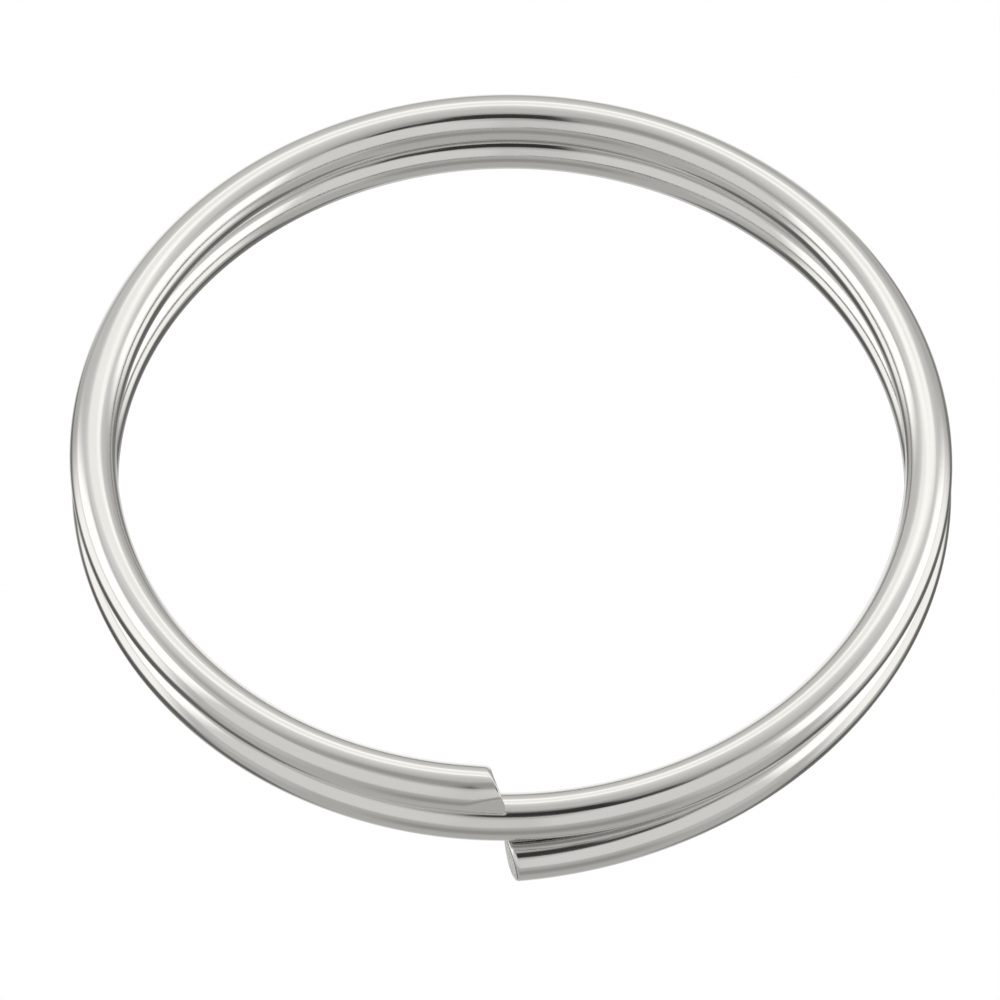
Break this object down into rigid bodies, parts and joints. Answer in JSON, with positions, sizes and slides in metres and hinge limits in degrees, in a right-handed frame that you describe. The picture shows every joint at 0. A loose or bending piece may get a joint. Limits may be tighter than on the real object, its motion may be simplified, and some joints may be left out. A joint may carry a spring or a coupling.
{
  "type": "split key ring",
  "caption": "Split key ring: round spring wire wound into two close turns with sheared ends, one end slightly flared, that spring apart to take a key.",
  "frame": {"origin": "centre of the coil, at half its height", "axes": "+Z along the coil axis, towards the upper turn's free end; -Y towards the front, where the two cut ends meet; +X to the right"},
  "size_m": [0.03, 0.0305, 0.005],
  "materials": {
    "nickel_plated_wire": "polished nickel-plated spring steel"
  },
  "bodies": {
    "lower_end": {"lower_end": "nickel_plated_wire"},
    "lower_turn_09": {"lower_turn_09": "nickel_plated_wire"},
    "lower_turn_08": {"lower_turn_08": "nickel_plated_wire"},
    "lower_turn_07": {"lower_turn_07": "nickel_plated_wire"},
    "lower_turn_06": {"lower_turn_06": "nickel_plated_wire"},
    "lower_turn_05": {"lower_turn_05": "nickel_plated_wire"},
    "lower_turn_04": {"lower_turn_04": "nickel_plated_wire"},
    "lower_turn_03": {"lower_turn_03": "nickel_plated_wire"},
    "lower_turn_02": {"lower_turn_02": "nickel_plated_wire"},
    "lower_turn_01": {"lower_turn_01": "nickel_plated_wire"},
    "middle_crossover": {"middle_crossover": "nickel_plated_wire"},
    "upper_turn_01": {"upper_turn_01": "nickel_plated_wire"},
    "upper_turn_02": {"upper_turn_02": "nickel_plated_wire"},
    "upper_turn_03": {"upper_turn_03": "nickel_plated_wire"},
    "upper_turn_04": {"upper_turn_04": "nickel_plated_wire"},
    "upper_turn_05": {"upper_turn_05": "nickel_plated_wire"},
    "upper_turn_06": {"upper_turn_06": "nickel_plated_wire"},
    "upper_turn_07": {"upper_turn_07": "nickel_plated_wire"},
    "upper_turn_08": {"upper_turn_08": "nickel_plated_wire"},
    "upper_turn_09": {"upper_turn_09": "nickel_plated_wire"},
    "upper_end": {"upper_end": "nickel_plated_wire"}
  },
  "joints": [
    {"name": "lower_flex_10", "type": "hinge", "parent": "lower_end", "child": "lower_turn_09", "pos_m": [0.00821, -0.0117, -0.00152], "axis": [-0.2294, 0.9733, 0.007], "range_deg": [0, 0.29], "stiffness_Nm_per_rad": 0.05},
    {"name": "lower_flex_09", "type": "hinge", "parent": "lower_turn_09", "child": "lower_turn_08", "pos_m": [0.01328, -0.00503, -0.00136], "axis": [-0.4664, 0.8845, 0.0125], "range_deg": [0, 0.595], "stiffness_Nm_per_rad": 0.05},
    {"name": "lower_flex_08", "type": "hinge", "parent": "lower_turn_08", "child": "lower_turn_07", "pos_m": [0.01381, 0.00331, -0.0012], "axis": [-0.7083, 0.7057, 0.016], "range_deg": [0, 0.892], "stiffness_Nm_per_rad": 0.05},
    {"name": "lower_flex_07", "type": "hinge", "parent": "lower_turn_07", "child": "lower_turn_06", "pos_m": [0.00956, 0.0105, -0.00104], "axis": [-0.9032, 0.4288, 0.018], "range_deg": [0, 1.13], "stiffness_Nm_per_rad": 0.05},
    {"name": "lower_gap_opening", "type": "hinge", "parent": "lower_turn_06", "child": "lower_turn_05", "pos_m": [0.00201, 0.01406, -0.00088], "axis": [-0.9965, 0.0815, 0.0188], "range_deg": [0, 1.23], "stiffness_Nm_per_rad": 0.05},
    {"name": "lower_flex_05", "type": "hinge", "parent": "lower_turn_05", "child": "lower_turn_04", "pos_m": [-0.00624, 0.01275, -0.00072], "axis": [-0.9596, -0.2807, 0.0185], "range_deg": [0, 1.2], "stiffness_Nm_per_rad": 0.05},
    {"name": "lower_flex_04", "type": "hinge", "parent": "lower_turn_04", "child": "lower_turn_03", "pos_m": [-0.01233, 0.00704, -0.00056], "axis": [-0.8031, -0.5956, 0.0172], "range_deg": [0, 1.03], "stiffness_Nm_per_rad": 0.05},
    {"name": "lower_flex_03", "type": "hinge", "parent": "lower_turn_03", "child": "lower_turn_02", "pos_m": [-0.01416, -0.00111, -0.0004], "axis": [-0.5275, -0.8494, 0.0152], "range_deg": [0, 0.734], "stiffness_Nm_per_rad": 0.05},
    {"name": "lower_flex_02", "type": "hinge", "parent": "lower_turn_02", "child": "lower_turn_01", "pos_m": [-0.01108, -0.00888, -0.00024], "axis": [-0.0252, -0.9996, 0.0144], "range_deg": [0, 0.409], "stiffness_Nm_per_rad": 0.05},
    {"name": "lower_flex_01", "type": "hinge", "parent": "lower_turn_01", "child": "middle_crossover", "pos_m": [-0.00418, -0.01357, -0.00008], "axis": [0.955, -0.2961, 0.0188], "range_deg": [0, 0.207], "stiffness_Nm_per_rad": 0.05},
    {"name": "upper_flex_01", "type": "hinge", "parent": "middle_crossover", "child": "upper_turn_01", "pos_m": [0.00418, -0.01357, 0.00008], "axis": [0.955, 0.2961, 0.0188], "range_deg": [0, 0.207], "stiffness_Nm_per_rad": 0.05},
    {"name": "upper_flex_02", "type": "hinge", "parent": "upper_turn_01", "child": "upper_turn_02", "pos_m": [0.01108, -0.00888, 0.00024], "axis": [-0.0252, 0.9996, 0.0144], "range_deg": [0, 0.409], "stiffness_Nm_per_rad": 0.05},
    {"name": "upper_flex_03", "type": "hinge", "parent": "upper_turn_02", "child": "upper_turn_03", "pos_m": [0.01416, -0.00111, 0.0004], "axis": [-0.5275, 0.8494, 0.0152], "range_deg": [0, 0.734], "stiffness_Nm_per_rad": 0.05},
    {"name": "upper_flex_04", "type": "hinge", "parent": "upper_turn_03", "child": "upper_turn_04", "pos_m": [0.01233, 0.00704, 0.00056], "axis": [-0.8031, 0.5956, 0.0172], "range_deg": [0, 1.03], "stiffness_Nm_per_rad": 0.05},
    {"name": "upper_flex_05", "type": "hinge", "parent": "upper_turn_04", "child": "upper_turn_05", "pos_m": [0.00624, 0.01275, 0.00072], "axis": [-0.9596, 0.2807, 0.0185], "range_deg": [0, 1.2], "stiffness_Nm_per_rad": 0.05},
    {"name": "upper_gap_opening", "type": "hinge", "parent": "upper_turn_05", "child": "upper_turn_06", "pos_m": [-0.00201, 0.01406, 0.00088], "axis": [-0.9965, -0.0815, 0.0188], "range_deg": [0, 1.23], "stiffness_Nm_per_rad": 0.05},
    {"name": "upper_flex_07", "type": "hinge", "parent": "upper_turn_06", "child": "upper_turn_07", "pos_m": [-0.00956, 0.0105, 0.00104], "axis": [-0.9032, -0.4288, 0.018], "range_deg": [0, 1.13], "stiffness_Nm_per_rad": 0.05},
    {"name": "upper_flex_08", "type": "hinge", "parent": "upper_turn_07", "child": "upper_turn_08", "pos_m": [-0.01381, 0.00331, 0.0012], "axis": [-0.7083, -0.7057, 0.016], "range_deg": [0, 0.892], "stiffness_Nm_per_rad": 0.05},
    {"name": "upper_flex_09", "type": "hinge", "parent": "upper_turn_08", "child": "upper_turn_09", "pos_m": [-0.01328, -0.00503, 0.00136], "axis": [-0.4664, -0.8845, 0.0125], "range_deg": [0, 0.595], "stiffness_Nm_per_rad": 0.05},
    {"name": "upper_flex_10", "type": "hinge", "parent": "upper_turn_09", "child": "upper_end", "pos_m": [-0.00816, -0.01162, 0.00152], "axis": [-0.2294, -0.9733, 0.007], "range_deg": [0, 0.29], "stiffness_Nm_per_rad": 0.05}
  ],
  "couplings": [
    {"joint": "lower_flex_10", "follows": "lower_gap_opening", "ratio": 0.2339},
    {"joint": "lower_flex_09", "follows": "lower_gap_opening", "ratio": 0.4794},
    {"joint": "lower_flex_08", "follows": "lower_gap_opening", "ratio": 0.7187},
    {"joint": "lower_flex_07", "follows": "lower_gap_opening", "ratio": 0.9077},
    {"joint": "lower_flex_05", "follows": "lower_gap_opening", "ratio": 0.9704},
    {"joint": "lower_flex_04", "follows": "lower_gap_opening", "ratio": 0.8271},
    {"joint": "lower_flex_03", "follows": "lower_gap_opening", "ratio": 0.5918},
    {"joint": "lower_flex_02", "follows": "lower_gap_opening", "ratio": 0.3292},
    {"joint": "lower_flex_01", "follows": "lower_gap_opening", "ratio": 0.1666},
    {"joint": "upper_flex_01", "follows": "upper_gap_opening", "ratio": 0.1666},
    {"joint": "upper_flex_02", "follows": "upper_gap_opening", "ratio": 0.3292},
    {"joint": "upper_flex_03", "follows": "upper_gap_opening", "ratio": 0.5918},
    {"joint": "upper_flex_04", "follows": "upper_gap_opening", "ratio": 0.8271},
    {"joint": "upper_flex_05", "follows": "upper_gap_opening", "ratio": 0.9704},
    {"joint": "upper_flex_07", "follows": "upper_gap_opening", "ratio": 0.9077},
    {"joint": "upper_flex_08", "follows": "upper_gap_opening", "ratio": 0.7187},
    {"joint": "upper_flex_09", "follows": "upper_gap_opening", "ratio": 0.4794},
    {"joint": "upper_flex_10", "follows": "upper_gap_opening", "ratio": 0.2339}
  ]
}
